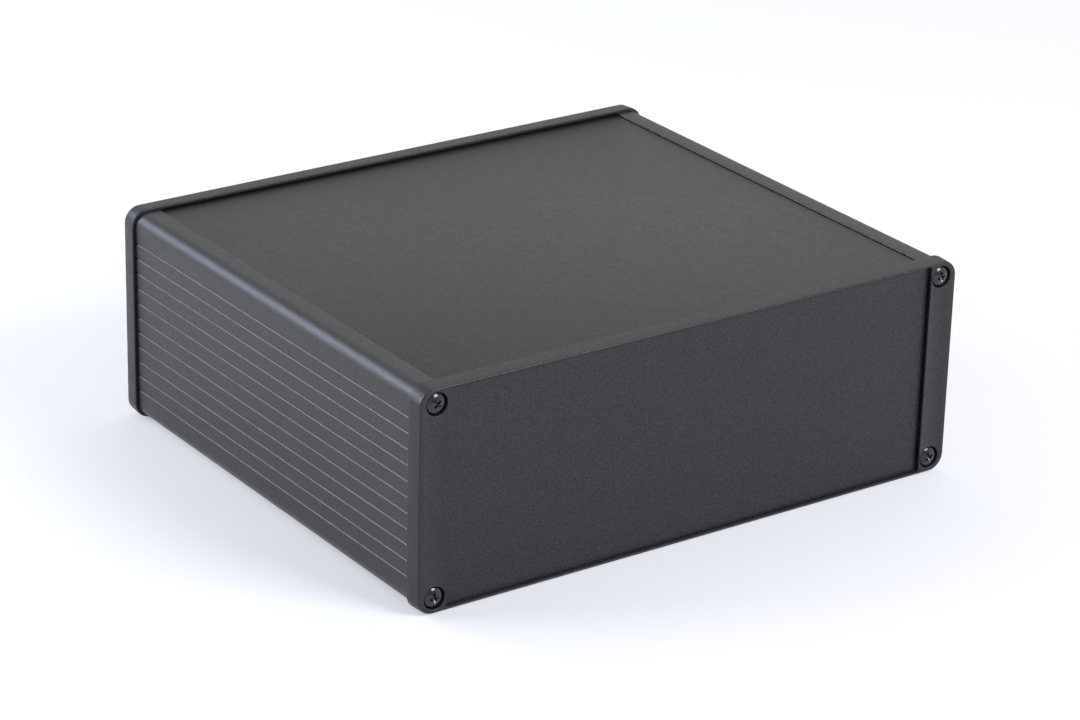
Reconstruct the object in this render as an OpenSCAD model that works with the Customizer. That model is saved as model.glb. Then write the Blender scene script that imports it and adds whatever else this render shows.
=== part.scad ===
// Extruded aluminium enclosure for a circuit board.
// Two side extrusions carry a top and a bottom cover sheet in slots. A bezel at
// each end traps a flat panel and is screwed into channels in the extrusions.
// X is the width, Z is up, the front faces -Y, and Z = 0 is the surface it stands on.

/* [Body] */
// Width across the two side profiles
body_w = 195; // [140:1:260]
// Height of the side profiles
body_h = 69; // [50:1:100]
// Length of the side profiles and covers
body_l = 161.5; // [80:0.5:300]
// Radius of the rounded long edges
corner_r = 4.5; // [3:0.1:5.5]

/* [Side profiles] */
// Thickness of the side wall
wall_t = 2.6; // [2:0.1:4]
// Distance between the grooves outside
groove_pitch = 5; // [3:0.5:8]
// Width of a groove at the surface
groove_w = 0.7; // [0.4:0.1:1.4]
// Plain height between a rounded edge and the first groove, at least
groove_margin = 4.5; // [2:0.5:8]
// Thickness of the lips over the covers
lip_t = 1; // [0.8:0.1:2]
// Thickness of the shelves that the covers slide on
shelf_t = 1.2; // [1:0.1:2]
// How far a shelf reaches past the lip above it
shelf_past_lip = 0.5; // [0:0.1:2]
// Wall of the round screw channels
channel_wall = 1.25; // [1:0.05:2]
// Width of the slit along a screw channel
channel_slit = 1.4; // [0.8:0.1:2]

/* [Board guides] */
// Thickness of the circuit board that slides in
board_t = 1.6; // [0.8:0.1:2.4]
// Clearance on each face of the board
board_clearance = 0.15; // [0.05:0.05:0.4]
// Distance between the guide slots
guide_pitch = 9; // [7:0.5:15]
// Height kept free of guides at the top and at the bottom
guide_margin = 14; // [12:0.5:20]
// How far the guide ribs stand in from the wall
guide_reach = 3; // [2:0.1:5]
// Thickness of a guide rib
guide_rib_t = 1.3; // [1:0.1:2]

/* [Covers] */
// Thickness of the cover sheets
cover_t = 1.5; // [1:0.1:2]
// How far a cover's edge lies under the lip
cover_bite = 2; // [1.5:0.1:2.2]
// Play of the sheet between the lip and the shelf
cover_play = 0.1; // [0.05:0.05:0.4]
// Clearance at each side edge of a cover
cover_side_clearance = 0.25; // [0.1:0.05:0.4]

/* [Bezels] */
// How far a bezel stands out past the body all round
bezel_proud = 1; // [0.8:0.1:2]
// Thickness of a bezel, front to back
bezel_t = 4.5; // [4.2:0.1:7]
// Radius of a bezel's outer corners
bezel_r = 5.5; // [4:0.1:6.5]
// Radius of a bezel's softened outer edges
bezel_edge_r = 0.4; // [0.2:0.05:0.6]
// Width of the bar beside the opening
side_bar = 10; // [9.8:0.1:12]
// Radius of the opening's corners
opening_r = 0.8; // [0.4:0.1:1.5]
// How far the panel's side edges reach behind the bars
panel_bite = 3; // [1:0.1:4]
// Wall left between a counterbore and the pocket for the panel's edge
pocket_wall = 1.2; // [0.8:0.1:3]

/* [Panels] */
// Thickness of the panels
panel_t = 3; // [2:0.1:3.4]
// Clearance round the edge of a panel
panel_clearance = 0.15; // [0.05:0.05:0.3]

/* [Screws] */
// Thread diameter
screw_d = 3; // [2.5:0.1:3]
// Length under the head
screw_l = 12; // [8:1:20]
// Diameter of the pan head
head_d = 6; // [5:0.1:6.2]
// Height of the pan head
head_h = 2.4; // [1.6:0.1:2.6]
// Radius of the head's domed top
head_dome_r = 6; // [4:0.1:8]
// Radius that the dome rolls over the rim with
head_rim_r = 0.9; // [0.3:0.1:1.2]
// Length of the cross recess
recess_l = 3.2; // [2.5:0.1:3.6]
// Width of the cross recess's arms
recess_w = 0.8; // [0.6:0.05:1]
// Depth of the cross recess
recess_depth = 1.4; // [0.8:0.1:1.5]
// Diameter of the counterbore round the head
counterbore_d = 7.2; // [6.4:0.1:7.4]
// Depth of the counterbore
counterbore_depth = 2; // [1.6:0.1:2.4]
// Clearance round the screw in the bezel
hole_clearance = 0.2; // [0.1:0.05:0.4]
// Clearance round the thread in the channel
thread_clearance = 0.05; // [0.02:0.01:0.1]
// Screw axis from the side of the body
screw_in_x = 5; // [4.8:0.1:5.2]
// Screw axis from the top or the bottom of the body
screw_in_z = 4.1; // [4:0.1:4.5]

/* [Hidden] */
$fn = 64;
cut = 1; // how far a cut runs past the face it opens

bezel_w = body_w + 2 * bezel_proud;
bezel_h = body_h + 2 * bezel_proud;
opening_w = bezel_w - 2 * side_bar;
pocket_w = opening_w + 2 * (panel_bite + panel_clearance);
pocket_h = body_h - 2 * (screw_in_z + counterbore_d / 2 + pocket_wall);
groove_count = floor((body_h - 2 * (corner_r + groove_margin)) / groove_pitch) + 1;
guide_count = floor((body_h - 2 * guide_margin) / guide_pitch) + 1;
guide_gap = board_t + 2 * board_clearance;

lip_w = side_bar - bezel_proud; // the lip ends in line with the bezel's opening
slot_end = lip_w - cover_bite;
slot_h = cover_t + cover_play;
cover_w = body_w - 2 * (slot_end + cover_side_clearance);
channel_r = screw_d / 2 + thread_clearance;

metal = "#5e5f62";
cast = "#4a4a4e";
plate = "#414146";
blackened = "#17171a";

// Outline of the extrusion's skin: both long edges rounded on the outside
module skin_outline() {
    translate([corner_r, 0]) square([lip_w - corner_r, body_h]);
    translate([0, corner_r]) square([lip_w, body_h - 2 * corner_r]);
    for (v = [corner_r, body_h - corner_r])
        translate([corner_r, v]) circle(corner_r);
}

// Copies a shape to the bottom edge and, turned over, to the top edge
module at_both_edges() {
    children();
    translate([0, body_h]) mirror([0, 1]) children();
}

// Corner of the extrusion: the block that ends the cover slot, the round
// screw channel below it and the shelf that carries the cover
module corner_section() {
    intersection() {
        skin_outline();
        square([slot_end, screw_in_z]);
    }
    translate([screw_in_x, screw_in_z]) circle(channel_r + channel_wall);
    translate([screw_in_x, lip_t + slot_h])
        square([lip_w + shelf_past_lip - screw_in_x, shelf_t]);
}

// Pairs of ribs that a circuit board slides between
module guide_ribs() {
    for (i = [0 : guide_count - 1], s = [-1, 1])
        translate([wall_t - cut, body_h / 2 + (i - (guide_count - 1) / 2) * guide_pitch
                + s * (guide_gap + guide_rib_t) / 2 - guide_rib_t / 2])
            square([guide_reach + cut, guide_rib_t]);
}

// Section of a side profile, with its outer side on x = 0
module profile_section() {
    difference() {
        union() {
            difference() {
                skin_outline();
                translate([wall_t, lip_t]) square([lip_w, body_h - 2 * lip_t]);
            }
            at_both_edges() corner_section();
            guide_ribs();
        }
        at_both_edges() {
            translate([screw_in_x, screw_in_z]) circle(channel_r);
            translate([screw_in_x - channel_slit / 2, screw_in_z])
                square([channel_slit, channel_r + channel_wall + cut]);
            translate([slot_end, lip_t]) square([lip_w, slot_h]);
        }
        for (i = [0 : groove_count - 1])
            translate([0, body_h / 2 + (i - (groove_count - 1) / 2) * groove_pitch])
                rotate(45) square(groove_w / sqrt(2), center = true);
    }
}

module left_side_profile() {
    color(metal) translate([-body_w / 2, body_l / 2, bezel_proud])
        rotate([90, 0, 0]) linear_extrude(body_l) profile_section();
}

module right_side_profile() {
    mirror([1, 0, 0]) left_side_profile();
}

// A cover sheet with its underside on z = 0
module cover() {
    color(metal) translate([-cover_w / 2, -body_l / 2, 0])
        cube([cover_w, body_l, cover_t]);
}

module top_cover() {
    translate([0, 0, bezel_proud + body_h - lip_t - slot_h]) cover();
}

module bottom_cover() {
    translate([0, 0, bezel_proud + lip_t]) cover();
}

// Section across a bezel's rim: across is measured outwards, the thickness along y,
// and both outer edges are softened
module rim_section() {
    translate([0, bezel_edge_r]) square([bezel_r, bezel_t - 2 * bezel_edge_r]);
    square([bezel_r - bezel_edge_r, bezel_t]);
    for (y = [bezel_edge_r, bezel_t - bezel_edge_r])
        translate([bezel_r - bezel_edge_r, y]) circle(bezel_edge_r);
}

// Solid plate with a rounded outline and softened edges, its front on y = 0
module soft_plate() {
    side = bezel_w / 2 - bezel_r;
    top = bezel_h / 2 - bezel_r;
    for (flip_x = [0, 1], flip_z = [0, 1])
        mirror([flip_x, 0, 0]) mirror([0, 0, flip_z])
            translate([side, 0, top]) rotate([-90, 0, 0]) rotate([0, 0, -90])
                rotate_extrude(angle = 90) rim_section();
    for (flip_x = [0, 1])
        mirror([flip_x, 0, 0]) translate([side, 0, -top])
            linear_extrude(2 * top) rim_section();
    for (flip_z = [0, 1])
        mirror([0, 0, flip_z]) translate([side, 0, top]) rotate([0, -90, 0])
            linear_extrude(2 * side) rim_section();
    translate([-side, 0, -top]) cube([2 * side, bezel_t, 2 * top]);
}

// Places its children on the four screw axes, at mid height
module at_screws() {
    for (sx = [-1, 1], sz = [-1, 1])
        translate([sx * (body_w / 2 - screw_in_x), 0, sz * (body_h / 2 - screw_in_z)])
            children();
}

// Rectangle centred on the axis, with rounded corners
module rounded_rectangle(width, height, radius) {
    square([width - 2 * radius, height], center = true);
    square([width, height - 2 * radius], center = true);
    for (sx = [-1, 1], sz = [-1, 1])
        translate([sx * (width / 2 - radius), sz * (height / 2 - radius)]) circle(radius);
}

// Gives an outline drawn in x and z its thickness, from y = front to y = back
module along_y(front, back) {
    translate([0, back, 0]) rotate([90, 0, 0]) linear_extrude(back - front) children();
}

// A bezel centred on the axis, its front on y = 0 and its back on y = bezel_t
module bezel() {
    color(cast) difference() {
        soft_plate();
        along_y(-cut, bezel_t + cut) rounded_rectangle(opening_w, body_h, opening_r);
        translate([-pocket_w / 2, bezel_t - panel_t, -pocket_h / 2])
            cube([pocket_w, panel_t + cut, pocket_h]);
        at_screws() rotate([-90, 0, 0]) {
            translate([0, 0, -cut])
                cylinder(d = screw_d + 2 * hole_clearance, h = bezel_t + 2 * cut);
            translate([0, 0, -cut])
                cylinder(d = counterbore_d, h = counterbore_depth + cut);
        }
    }
}

// The flat panel behind the bezel's front: it fills the opening from edge to edge,
// and between the screws its sides reach into the pockets behind the bars
module panel() {
    color(plate) along_y(bezel_t - panel_t, bezel_t) {
        rounded_rectangle(opening_w - 2 * panel_clearance, body_h - 2 * panel_clearance,
            opening_r - panel_clearance);
        square([pocket_w - 2 * panel_clearance, pocket_h - 2 * panel_clearance], center = true);
    }
}

// Half section of a pan head: a straight rim that rolls over into the dome
module head_section() {
    dome_z = head_h - head_dome_r;
    roll_x = head_d / 2 - head_rim_r;
    roll_z = dome_z + sqrt(pow(head_dome_r - head_rim_r, 2) - pow(roll_x, 2));
    meet = head_dome_r / (head_dome_r - head_rim_r); // dome and roll meet this far out
    intersection() {
        square([head_d / 2, head_h]);
        union() {
            square([head_d / 2, roll_z]);
            translate([roll_x, roll_z]) circle(head_rim_r);
            intersection() {
                translate([0, dome_z]) circle(head_dome_r);
                polygon([[0, 0], [roll_x, 0], [roll_x, roll_z],
                    [meet * roll_x, dome_z + meet * (roll_z - dome_z)],
                    [meet * roll_x, head_h], [0, head_h]]);
            }
        }
    }
}

// A pan head screw pointing along +y, its head's underside on the counterbore's floor
module screw() {
    color(blackened) translate([0, counterbore_depth, 0]) rotate([90, 0, 0])
        difference() {
            union() {
                rotate_extrude() head_section();
                translate([0, 0, -screw_l]) cylinder(d = screw_d, h = screw_l + head_h / 2);
            }
            for (turn = [0, 90])
                rotate(turn) translate([-recess_l / 2, -recess_w / 2, head_h - recess_depth])
                    cube([recess_l, recess_w, recess_depth + cut]);
        }
}

// Moves what is built on y = 0 to the front end, or turned round to the rear end
module at_front() {
    translate([0, -body_l / 2 - bezel_t, bezel_proud + body_h / 2]) children();
}

module at_rear() {
    rotate([0, 0, 180]) at_front() children();
}

// One screw, named as seen by someone in front of the case
module screw_at(sx, sz) {
    translate([sx * (body_w / 2 - screw_in_x), 0, sz * (body_h / 2 - screw_in_z)]) screw();
}

left_side_profile();
right_side_profile();
top_cover();
bottom_cover();
at_front() bezel();  // front_bezel
at_rear() bezel();  // rear_bezel
at_front() panel();  // front_panel
at_rear() panel();  // rear_panel
at_front() screw_at(-1, 1);  // front_screw_top_left
at_front() screw_at(1, 1);  // front_screw_top_right
at_front() screw_at(-1, -1);  // front_screw_bottom_left
at_front() screw_at(1, -1);  // front_screw_bottom_right
at_rear() screw_at(1, 1);  // rear_screw_top_left
at_rear() screw_at(-1, 1);  // rear_screw_top_right
at_rear() screw_at(1, -1);  // rear_screw_bottom_left
at_rear() screw_at(-1, -1);  // rear_screw_bottom_right
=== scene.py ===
# Extruded aluminium instrument case, 197 x 171.3 x 71 mm: two grooved side
# extrusions, two cover sheets, two bezels, two panels and eight screws.
import bmesh
import bpy
from math import asin, cos, hypot, pi, radians, sin
from mathutils import Matrix, Vector


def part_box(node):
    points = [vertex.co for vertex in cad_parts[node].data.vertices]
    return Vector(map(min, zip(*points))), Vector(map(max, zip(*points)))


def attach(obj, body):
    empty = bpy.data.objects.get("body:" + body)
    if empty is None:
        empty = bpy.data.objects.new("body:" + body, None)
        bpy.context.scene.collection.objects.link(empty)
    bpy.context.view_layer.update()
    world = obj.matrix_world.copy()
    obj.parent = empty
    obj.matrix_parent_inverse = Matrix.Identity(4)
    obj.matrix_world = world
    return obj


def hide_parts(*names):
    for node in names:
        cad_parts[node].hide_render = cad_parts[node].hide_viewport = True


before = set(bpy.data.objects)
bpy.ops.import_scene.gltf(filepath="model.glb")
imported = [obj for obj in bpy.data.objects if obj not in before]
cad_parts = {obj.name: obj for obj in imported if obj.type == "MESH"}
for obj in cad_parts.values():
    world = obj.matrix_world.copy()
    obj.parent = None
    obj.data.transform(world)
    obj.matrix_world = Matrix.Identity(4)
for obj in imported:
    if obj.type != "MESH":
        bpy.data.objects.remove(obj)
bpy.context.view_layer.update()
MM = 0.001


# ---------------------------------------------------------------------------
# Side extrusions. Each is one length of extruded aluminium with V grooves along
# its face, rounded long edges and lips over the cover slots. It is powder coated
# after cutting, so every edge is a little soft.

LIP_W = 9 * MM
GROOVE_REACH = 0.5 * MM
GROOVE_SOFT = 0.10 * MM
LIP_SOFT = 0.35 * MM
LONG_EDGE = 100 * MM
SAME_PLACE = 0.01 * MM
SMOOTH_UNDER = 35

GRAIN_SIZE = 0.34 * MM
MOTTLE_SIZE = 1.6 * MM
ROUGHNESS_SWING = 0.05
FLECK_SPACING = 9 * MM


def merged_copy(node):
    """A copy of a CAD solid with its loose triangles joined and its flat faces whole."""
    shape = bmesh.new()
    shape.from_mesh(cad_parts[node].data)
    bmesh.ops.remove_doubles(shape, verts=shape.verts, dist=0.001 * MM)
    bmesh.ops.dissolve_limit(shape, angle_limit=radians(0.5), verts=shape.verts,
                             edges=shape.edges, use_dissolve_boundaries=False)
    return shape


def soften(shape, edges, width, steps):
    """Rounds edges to the given width, as a coat of powder does."""
    bmesh.ops.bevel(shape, geom=edges, offset=width, offset_type="OFFSET", segments=steps,
                    profile=0.5, affect="EDGES", material=-1, clamp_overlap=False,
                    loop_slide=True)


def finished_piece(shape, name, material, stands_for):
    """Puts a finished shape into the scene in place of the CAD solid it details."""
    mesh = bpy.data.meshes.new(name)
    shape.to_mesh(mesh)
    shape.free()
    mesh.materials.append(material)
    mesh.shade_smooth()
    mesh.set_sharp_from_angle(angle=radians(SMOOTH_UNDER))
    piece = bpy.data.objects.new(name, mesh)
    bpy.context.scene.collection.objects.link(piece)
    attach(piece, "root")
    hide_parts(stands_for)


def powder_coat(name, roughness, grain_height, ior=1.5):
    """Fine-texture black powder coat: pebbled, finely speckled, with rare dust flecks."""
    material = bpy.data.materials.new(name)
    material.use_nodes = True
    nodes, links = material.node_tree.nodes, material.node_tree.links
    shader = nodes["Principled BSDF"]
    shader.inputs["IOR"].default_value = ior
    place = nodes.new("ShaderNodeTexCoord")

    grain = nodes.new("ShaderNodeTexNoise")
    grain.inputs["Scale"].default_value = 1 / GRAIN_SIZE
    grain.inputs["Detail"].default_value = 2
    grain.inputs["Roughness"].default_value = 0.6
    links.new(place.outputs["Object"], grain.inputs["Vector"])
    bump = nodes.new("ShaderNodeBump")
    bump.inputs["Strength"].default_value = 1
    bump.inputs["Distance"].default_value = grain_height
    links.new(grain.outputs["Fac"], bump.inputs["Height"])
    links.new(bump.outputs["Normal"], shader.inputs["Normal"])

    speckle = nodes.new("ShaderNodeValToRGB")
    speckle.color_ramp.elements[0].position = 0.34
    speckle.color_ramp.elements[1].position = 0.68
    speckle.color_ramp.elements[0].color = (0, 0, 0, 1)
    speckle.color_ramp.elements[1].color = (0.030, 0.030, 0.031, 1)
    links.new(grain.outputs["Fac"], speckle.inputs["Fac"])

    cells = nodes.new("ShaderNodeTexVoronoi")
    cells.inputs["Scale"].default_value = 1 / FLECK_SPACING
    links.new(place.outputs["Object"], cells.inputs["Vector"])
    speck = nodes.new("ShaderNodeMapRange")
    speck.inputs["From Min"].default_value = 0.024
    speck.inputs["From Max"].default_value = 0.018
    links.new(cells.outputs["Distance"], speck.inputs["Value"])
    rare = nodes.new("ShaderNodeMath")
    rare.operation = "GREATER_THAN"
    rare.inputs[1].default_value = 0.8
    links.new(cells.outputs["Color"], rare.inputs[0])
    dusty = nodes.new("ShaderNodeMath")
    dusty.operation = "MULTIPLY"
    links.new(speck.outputs["Result"], dusty.inputs[0])
    links.new(rare.outputs["Value"], dusty.inputs[1])
    flecked = nodes.new("ShaderNodeMix")
    flecked.data_type = "RGBA"
    flecked.inputs["B"].default_value = (0.16, 0.16, 0.16, 1)
    links.new(dusty.outputs["Value"], flecked.inputs["Factor"])
    links.new(speckle.outputs["Color"], flecked.inputs["A"])
    links.new(flecked.outputs["Result"], shader.inputs["Base Color"])

    mottle = nodes.new("ShaderNodeTexNoise")
    mottle.inputs["Scale"].default_value = 1 / MOTTLE_SIZE
    mottle.inputs["Detail"].default_value = 3
    links.new(place.outputs["Object"], mottle.inputs["Vector"])
    sheen = nodes.new("ShaderNodeMapRange")
    sheen.inputs["From Min"].default_value = 0.3
    sheen.inputs["From Max"].default_value = 0.7
    sheen.inputs["To Min"].default_value = roughness - ROUGHNESS_SWING
    sheen.inputs["To Max"].default_value = roughness + ROUGHNESS_SWING
    links.new(mottle.outputs["Fac"], sheen.inputs["Value"])
    links.new(sheen.outputs["Result"], shader.inputs["Roughness"])
    return material


extrusion_coat = powder_coat("extrusion_powder_coat", 0.36, 0.08 * MM)
for side, node in ((-1, "left_side_profile"), (1, "right_side_profile")):
    rail = merged_copy(node)
    lo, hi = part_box(node)
    face_x = lo.x if side < 0 else hi.x
    lip_x = face_x - side * LIP_W
    groove_edges, lip_edges = [], []
    for edge in rail.edges:
        a, b = (v.co for v in edge.verts)
        if abs(a.y - b.y) < LONG_EDGE or edge.calc_face_angle(0) < radians(30):
            continue
        if abs(a.x - face_x) < GROOVE_REACH:
            groove_edges.append(edge)
        elif (abs(a.x - lip_x) < SAME_PLACE
              and min(a.z - lo.z, hi.z - a.z) < SAME_PLACE):
            lip_edges.append(edge)
    soften(rail, groove_edges, GROOVE_SOFT, 2)
    soften(rail, lip_edges, LIP_SOFT, 4)
    finished_piece(rail, node.replace("profile", "extrusion"), extrusion_coat, node)


# ---------------------------------------------------------------------------
# Cover sheets. Two aluminium sheets, powder coated, slide in the slots under the
# lips of the extrusions. Their edges are thinned to fit, so the field between the
# lips stands higher than the edges.

FIELD_RISE = 0.6 * MM
FIELD_GAP = 0.25 * MM
EDGE_SOFT = 0.15 * MM
WELD = 0.0005 * MM
CREASE = radians(60)


def everything(shape):
    """All of a shape's vertices, edges and faces, as bmesh.ops takes them."""
    return list(shape.verts) + list(shape.edges) + list(shape.faces)


cover_coat = powder_coat("cover_powder_coat", 0.38, 0.09 * MM)
field_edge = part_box("right_side_profile")[1].x - LIP_W - FIELD_GAP
for node, up in (("top_cover", 1), ("bottom_cover", -1)):
    sheet = merged_copy(node)
    for side in (-1, 1):
        bmesh.ops.bisect_plane(sheet, geom=everything(sheet), dist=WELD,
                               plane_co=(side * field_edge, 0, 0), plane_no=(1, 0, 0))
    field = [face for face in sheet.faces if face.normal.z * up > 0.9
             and abs(face.calc_center_median().x) < field_edge]
    raised = bmesh.ops.extrude_face_region(sheet, geom=field)["geom"]
    bmesh.ops.translate(sheet, vec=(0, 0, up * FIELD_RISE),
                        verts=[v for v in raised if isinstance(v, bmesh.types.BMVert)])
    bmesh.ops.delete(sheet, geom=[face for face in field if face.is_valid], context="FACES")
    outline = [edge for edge in sheet.edges if edge.calc_face_angle(0) > CREASE]
    soften(sheet, outline, EDGE_SOFT, 2)
    finished_piece(sheet, node + "_sheet", cover_coat, node)


# ---------------------------------------------------------------------------
# Bezels. One cast frame at each end holds its panel and stands a little proud of
# the body, with a hem that laps over the body's end. Two bars carry the screws in
# counterbores, and thin rails join them.

CORNER_R = 5.5 * MM
SKIN = 0.5 * MM
DRAFT_SLOPE = 0.07
HEM_REACH = 1.3 * MM
HEM_SUNK = 0.4 * MM
HEM_T = 0.95 * MM
HEM_ROUND = 0.3 * MM


def past_corner(across, half):
    """How far a place lies out from the centre lines of the frame's rounded corners."""
    return max(abs(across) - half + CORNER_R, 0)


def draft_outside(casting, lo, hi, back_y, outward):
    """Leans the frame's outer walls in towards its face, as a die-cast frame has them."""
    middle, half = (lo + hi) / 2, (hi - lo) / 2
    for vert in casting.verts:
        side = vert.co - middle
        out_x, out_z = past_corner(side.x, half.x), past_corner(side.z, half.z)
        reach = hypot(out_x, out_z)
        if reach > CORNER_R - SKIN:
            pull = DRAFT_SLOPE * max((vert.co.y - back_y) * outward, 0) / reach
            vert.co.x -= pull * out_x * (1 if side.x > 0 else -1)
            vert.co.z -= pull * out_z * (1 if side.z > 0 else -1)


def rim_hem(lo, hi, back_y, outward):
    """The frame's outer rim, carried on past its back so that it laps over the body."""
    hem = bmesh.new()
    size, middle = hi - lo, (lo + hi) / 2
    bmesh.ops.create_grid(hem, x_segments=1, y_segments=1, size=0.5)
    bmesh.ops.scale(hem, vec=(size.x, size.z, 1), verts=hem.verts)
    bmesh.ops.bevel(hem, geom=list(hem.verts), offset=CORNER_R, offset_type="OFFSET",
                    segments=12, profile=0.5, affect="VERTICES", material=-1,
                    clamp_overlap=False)
    ring = bmesh.ops.inset_region(hem, faces=list(hem.faces), thickness=HEM_T,
                                  use_even_offset=True, use_boundary=True)["faces"]
    bmesh.ops.delete(hem, geom=[face for face in hem.faces if face not in ring],
                     context="FACES")
    length = HEM_REACH + HEM_SUNK
    grown = bmesh.ops.extrude_face_region(hem, geom=list(hem.faces))["geom"]
    bmesh.ops.translate(hem, vec=(0, 0, length),
                        verts=[v for v in grown if isinstance(v, bmesh.types.BMVert)])
    bmesh.ops.recalc_face_normals(hem, faces=hem.faces)
    rear_rim = [edge for edge in hem.edges if all(
        abs(v.co.z - length) < SAME_PLACE
        and hypot(past_corner(v.co.x, size.x / 2), past_corner(v.co.y, size.z / 2))
        > CORNER_R - 0.1 * MM for v in edge.verts)]
    soften(hem, rear_rim, HEM_ROUND, 3)
    seat = Matrix.Translation((middle.x, back_y + outward * HEM_SUNK, middle.z))
    bmesh.ops.transform(hem, matrix=seat @ Matrix.Rotation(radians(90 * outward), 4, "X"),
                        verts=hem.verts)
    return hem


def joined(shape, other):
    """Adds a second closed shape to the first."""
    mesh = bpy.data.meshes.new("joined")
    other.to_mesh(mesh)
    other.free()
    shape.from_mesh(mesh)
    bpy.data.meshes.remove(mesh)


bezel_coat = powder_coat("bezel_powder_coat", 0.38, 0.07 * MM, ior=1.45)
for node, outward in (("front_bezel", -1), ("rear_bezel", 1)):
    casting = merged_copy(node)
    lo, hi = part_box(node)
    back_y = lo.y if outward > 0 else hi.y
    rims = [edge for edge in casting.edges if edge.calc_face_angle(0) > CREASE
            and all(min(v.co.y - lo.y, hi.y - v.co.y) < SAME_PLACE for v in edge.verts)
            and abs(edge.verts[0].co.y - edge.verts[1].co.y) < SAME_PLACE]
    soften(casting, rims, EDGE_SOFT, 2)
    joined(casting, rim_hem(lo, hi, back_y, outward))
    draft_outside(casting, lo, hi, back_y, outward)
    finished_piece(casting, node + "_casting", bezel_coat, node)


# ---------------------------------------------------------------------------
# Panels. Flat aluminium plates, powder coated, that lie behind the bezels' fronts
# with their side edges in pockets behind the bars.

panel_coat = powder_coat("panel_powder_coat", 0.36, 0.05 * MM, ior=1.44)
for node in ("front_panel", "rear_panel"):
    plate = merged_copy(node)
    finished_piece(plate, node + "_plate", panel_coat, node)


# ---------------------------------------------------------------------------
# Screws. M3 pan head screws of blackened steel with a cross recess, one in each
# corner of each bezel. Their heads sit in counterbores, a little proud of the face,
# and are 0.4 mm wider here than the CAD solids.

def black_oxide(name):
    """Oiled black oxide on steel: near black and glossy, with faint machining marks."""
    material = bpy.data.materials.new(name)
    material.use_nodes = True
    nodes, links = material.node_tree.nodes, material.node_tree.links
    shader = nodes["Principled BSDF"]
    shader.inputs["IOR"].default_value = 1.55
    place = nodes.new("ShaderNodeTexCoord")
    wear = nodes.new("ShaderNodeTexNoise")
    wear.inputs["Scale"].default_value = 1500
    wear.inputs["Detail"].default_value = 3
    links.new(place.outputs["Object"], wear.inputs["Vector"])
    tone = nodes.new("ShaderNodeValToRGB")
    tone.color_ramp.elements[0].position = 0.35
    tone.color_ramp.elements[1].position = 0.70
    tone.color_ramp.elements[0].color = (0.004, 0.004, 0.005, 1)
    tone.color_ramp.elements[1].color = (0.014, 0.014, 0.015, 1)
    links.new(wear.outputs["Fac"], tone.inputs["Fac"])
    links.new(tone.outputs["Color"], shader.inputs["Base Color"])
    sheen = nodes.new("ShaderNodeMapRange")
    sheen.inputs["To Min"].default_value = 0.08
    sheen.inputs["To Max"].default_value = 0.18
    links.new(wear.outputs["Fac"], sheen.inputs["Value"])
    links.new(sheen.outputs["Result"], shader.inputs["Roughness"])
    bump = nodes.new("ShaderNodeBump")
    bump.inputs["Strength"].default_value = 0.5
    bump.inputs["Distance"].default_value = 0.004 * MM
    links.new(wear.outputs["Fac"], bump.inputs["Height"])
    links.new(bump.outputs["Normal"], shader.inputs["Normal"])
    return material


def turned(outline, steps):
    """Spins an outline of (radius, height) points into a closed shape about the z axis."""
    shape = bmesh.new()
    verts = [shape.verts.new((radius, 0, height)) for radius, height in outline]
    edges = [shape.edges.new(pair) for pair in zip(verts, verts[1:])]
    bmesh.ops.spin(shape, geom=verts + edges, cent=(0, 0, 0), axis=(0, 0, 1), angle=2 * pi,
                   steps=steps, use_merge=True)
    bmesh.ops.remove_doubles(shape, verts=shape.verts, dist=WELD)
    bmesh.ops.recalc_face_normals(shape, faces=shape.faces)
    return shape


DOME_R = 5.4 * MM
RIM_R = 0.55 * MM
HEAD_H = 2.4 * MM
HEAD_WIDER = 0.2 * MM
RECESS_L = 3.3 * MM
RECESS_W = 0.85 * MM
RECESS_DEPTH = 1.5 * MM
RECESS_TAPER = 0.62


def screw_head(radius):
    """A pan head with its crown on z = 0 and a tapered cross recess."""
    roll_x = radius - RIM_R
    meet = asin(roll_x / (DOME_R - RIM_R))
    roll_z = (DOME_R - RIM_R) * cos(meet) - DOME_R
    outline = []
    for i in range(8):
        angle = meet * i / 8
        outline.append((DOME_R * sin(angle), DOME_R * cos(angle) - DOME_R))
    for i in range(9):
        angle = meet + (pi / 2 - meet) * i / 8
        outline.append((roll_x + RIM_R * sin(angle), roll_z + RIM_R * cos(angle)))
    outline += [(radius, -HEAD_H), (0, -HEAD_H)]
    head = turned(outline, 64)
    for across in (Vector((1, 0, 0)), Vector((0, 1, 0))):
        for reach in (-RECESS_L / 2, -RECESS_W / 2, RECESS_W / 2, RECESS_L / 2):
            bmesh.ops.bisect_plane(head, geom=everything(head), dist=WELD,
                                   plane_co=across * reach, plane_no=across)
    mouth = []
    for face in head.faces:
        centre = face.calc_center_median()
        near, far = sorted((abs(centre.x), abs(centre.y)))
        if centre.z > -HEAD_H / 2 and near < RECESS_W / 2 and far < RECESS_L / 2:
            mouth.append(face)
    sunk = bmesh.ops.extrude_face_region(head, geom=mouth)["geom"]
    bmesh.ops.delete(head, geom=[face for face in mouth if face.is_valid], context="FACES")
    for vert in sunk:
        if isinstance(vert, bmesh.types.BMVert):
            out = hypot(vert.co.x, vert.co.y) / (RECESS_L / 2)
            vert.co.z = -RECESS_DEPTH * (1 - 0.6 * out)
            vert.co.xy *= RECESS_TAPER
    bmesh.ops.recalc_face_normals(head, faces=head.faces)
    return head


SHANK_R = 1.5 * MM
SHANK_SUNK = 0.1 * MM
THREAD_PITCH = 0.5 * MM
THREAD_DEPTH = 0.61 * THREAD_PITCH
STEPS_A_TURN = 24


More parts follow.
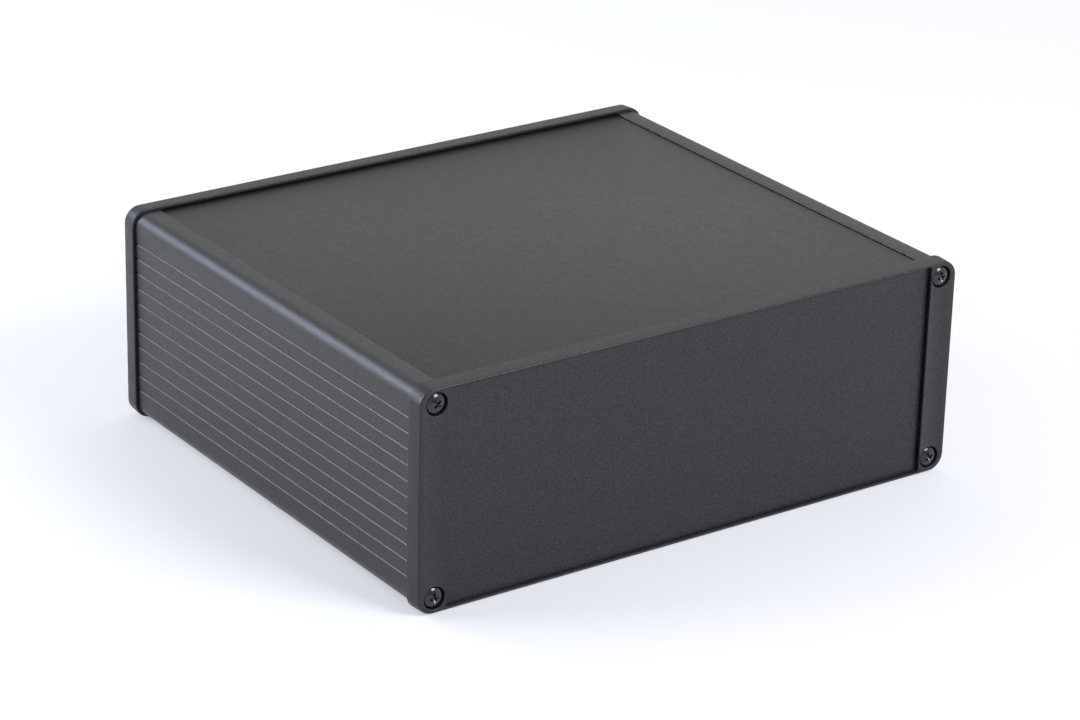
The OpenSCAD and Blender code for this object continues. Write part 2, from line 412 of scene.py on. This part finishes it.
def threaded_shank(radius, top, tip):
    """A helical thread between two heights, cut flat and closed at both ends."""
    shank = bmesh.new()
    turns = round((top - tip) / THREAD_PITCH) + 3
    start = tip - 1.5 * THREAD_PITCH
    root = radius - THREAD_DEPTH
    tooth = [(root, 0), (root, 0.25), (radius, 0.5625), (radius, 0.6875), (root, 1)]
    verts = [shank.verts.new((r, 0, start + part * THREAD_PITCH)) for r, part in tooth]
    edges = [shank.edges.new(pair) for pair in zip(verts, verts[1:])]
    bmesh.ops.spin(shank, geom=verts + edges, cent=(0, 0, 0), axis=(0, 0, 1),
                   dvec=(0, 0, THREAD_PITCH / STEPS_A_TURN), angle=2 * pi * turns,
                   steps=STEPS_A_TURN * turns)
    bmesh.ops.remove_doubles(shank, verts=shank.verts, dist=WELD)
    for height, side in ((top, 1), (tip, -1)):
        bmesh.ops.bisect_plane(shank, geom=everything(shank), dist=WELD,
                               plane_co=(0, 0, height), plane_no=(0, 0, side), clear_outer=True)
        rim = [edge for edge in shank.edges if edge.is_boundary
               and all(abs(v.co.z - height) < SAME_PLACE for v in edge.verts)]
        bmesh.ops.edgeloop_fill(shank, edges=rim)
    bmesh.ops.recalc_face_normals(shank, faces=shank.faces)
    return shank


screw_black = black_oxide("black_oxide_steel")
recess_turns = {
    "front_screw_top_left": 45, "front_screw_top_right": 12,
    "front_screw_bottom_left": 6, "front_screw_bottom_right": 28,
    "rear_screw_top_left": 70, "rear_screw_top_right": 35,
    "rear_screw_bottom_left": 18, "rear_screw_bottom_right": 52,
}
for node, turn in recess_turns.items():
    lo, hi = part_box(node)
    outward = -1 if node.startswith("front") else 1
    crown = lo.y if outward < 0 else hi.y
    screw = screw_head((hi.x - lo.x) / 2 + HEAD_WIDER)
    shank = threaded_shank(SHANK_R, SHANK_SUNK - HEAD_H, lo.y - hi.y)
    joined(screw, shank)
    seat = Matrix.Translation(((lo.x + hi.x) / 2, crown, (lo.z + hi.z) / 2))
    lean = Matrix.Rotation(radians(-90 * outward), 4, "X")
    bmesh.ops.transform(screw, matrix=seat @ lean @ Matrix.Rotation(radians(turn), 4, "Z"),
                        verts=screw.verts)
    finished_piece(screw, node + "_threaded", screw_black, node)


# ---------------------------------------------------------------------------
# Studio: a white paper floor, softboxes behind and beside the left side, one high in
# front on the right, dim boards behind, and dim surroundings that are palest behind
# and to the right.

LIGHT_DISTANCE = 1.2
CASE_MIDDLE = Vector((0, 0, 0.035))

floor_shape = bmesh.new()
bmesh.ops.create_grid(floor_shape, x_segments=1, y_segments=1, size=3)
floor_mesh = bpy.data.meshes.new("studio_floor")
floor_shape.to_mesh(floor_mesh)
floor_shape.free()
floor = bpy.data.objects.new("studio_floor", floor_mesh)
bpy.context.scene.collection.objects.link(floor)

paper = bpy.data.materials.new("white_paper")
paper.use_nodes = True
floor_mesh.materials.append(paper)
nodes, links = paper.node_tree.nodes, paper.node_tree.links
white = nodes["Principled BSDF"]
white.inputs["Base Color"].default_value = (0.62, 0.62, 0.62, 1)
white.inputs["Roughness"].default_value = 1
white.inputs["Specular IOR Level"].default_value = 0
white.inputs["Emission Color"].default_value = (1, 1, 1, 1)
rays = nodes.new("ShaderNodeLightPath")
seen_plainly = nodes.new("ShaderNodeMath")
seen_plainly.operation = "MAXIMUM"
seen_through = nodes.new("ShaderNodeMath")
seen_through.operation = "MAXIMUM"
glow = nodes.new("ShaderNodeMath")
glow.operation = "MULTIPLY"
glow.inputs[1].default_value = 0.36
links.new(rays.outputs["Is Camera Ray"], seen_plainly.inputs[0])
links.new(rays.outputs["Is Glossy Ray"], seen_plainly.inputs[1])
links.new(seen_plainly.outputs["Value"], seen_through.inputs[0])
links.new(rays.outputs["Is Transmission Ray"], seen_through.inputs[1])
links.new(seen_through.outputs["Value"], glow.inputs[0])
links.new(glow.outputs["Value"], white.inputs["Emission Strength"])


def towards(azimuth, elevation):
    """Direction from the case, with azimuth 0 behind it and 90 to its right."""
    flat = cos(radians(elevation))
    return Vector((sin(radians(azimuth)) * flat, cos(radians(azimuth)) * flat,
                   sin(radians(elevation))))


def softbox(name, azimuth, elevation, width, brightness):
    """A square diffuser 1.2 m away, whose face has the given brightness in each colour."""
    light = bpy.data.lights.new(name, "AREA")
    light.size = width
    strongest = max(brightness)
    light.color = [level / strongest for level in brightness]
    light.energy = pi * width * width * strongest
    lamp = bpy.data.objects.new(name, light)
    direction = towards(azimuth, elevation)
    lamp.location = CASE_MIDDLE + LIGHT_DISTANCE * direction
    lamp.rotation_euler = direction.to_track_quat("Z", "Y").to_euler()
    lamp.visible_camera = False
    bpy.context.scene.collection.objects.link(lamp)


softbox("front_right", 158, 34, 0.5, (12.5, 12.8, 14))
softbox("left_rear_low", -37, 18, 0.3, (5.5, 6.5, 8.0))
softbox("left_rear_high", -30, 28, 0.3, (7.8, 9.0, 11.4))
softbox("left_side", -60, 20, 0.5, (8.4, 8.9, 9.5))
softbox("rear_board", 5, 12, 0.7, (0.17, 0.16, 0.15))
softbox("right_rear_board", 35, 6, 0.7, (0.23, 0.23, 0.23))

world = bpy.data.worlds.new("studio")
bpy.context.scene.world = world
world.use_nodes = True
nodes, links = world.node_tree.nodes, world.node_tree.links
place = nodes.new("ShaderNodeTexCoord")
room = None
# azimuth, elevation, how tightly the glow gathers there, brightness in each colour
for azimuth, elevation, gather, brightness in (
        (90, 12, 6, (0.98, 1.00, 0.99)),
        (-145, 15, 4, (0.6, 0.8, 1.2)),
        (135, 15, 4, (0.8, 0.75, 0.8)),
        (35, 45, 6, (1.12, 1.15, 1.18)),
        (-30, 45, 8, (0.76, 0.64, 0.58))):
    facing = nodes.new("ShaderNodeVectorMath")
    facing.operation = "DOT_PRODUCT"
    facing.inputs[1].default_value = towards(azimuth, elevation)
    ahead = nodes.new("ShaderNodeMath")
    ahead.operation = "MAXIMUM"
    ahead.inputs[1].default_value = 0
    falloff = nodes.new("ShaderNodeMath")
    falloff.operation = "POWER"
    falloff.inputs[1].default_value = gather
    patch = nodes.new("ShaderNodeVectorMath")
    patch.operation = "MULTIPLY_ADD"
    patch.inputs[1].default_value = brightness
    patch.inputs[2].default_value = (0, 0, 0)
    links.new(place.outputs["Generated"], facing.inputs[0])
    links.new(facing.outputs["Value"], ahead.inputs[0])
    links.new(ahead.outputs["Value"], falloff.inputs[0])
    links.new(falloff.outputs["Value"], patch.inputs[0])
    if room:
        links.new(room.outputs["Vector"], patch.inputs[2])
    room = patch
links.new(room.outputs["Vector"], nodes["Background"].inputs["Color"])

camera_data = bpy.data.cameras.new("camera")
camera_data.sensor_width = 36
camera_data.lens = 124.57
camera = bpy.data.objects.new("camera", camera_data)
camera.location = (-0.6235, -0.8849, 0.4890)
camera.rotation_euler = (radians(66.92), radians(-1.366), radians(-34.705))
bpy.context.scene.collection.objects.link(camera)
bpy.context.scene.camera = camera
bpy.context.scene.view_settings.view_transform = "Standard"
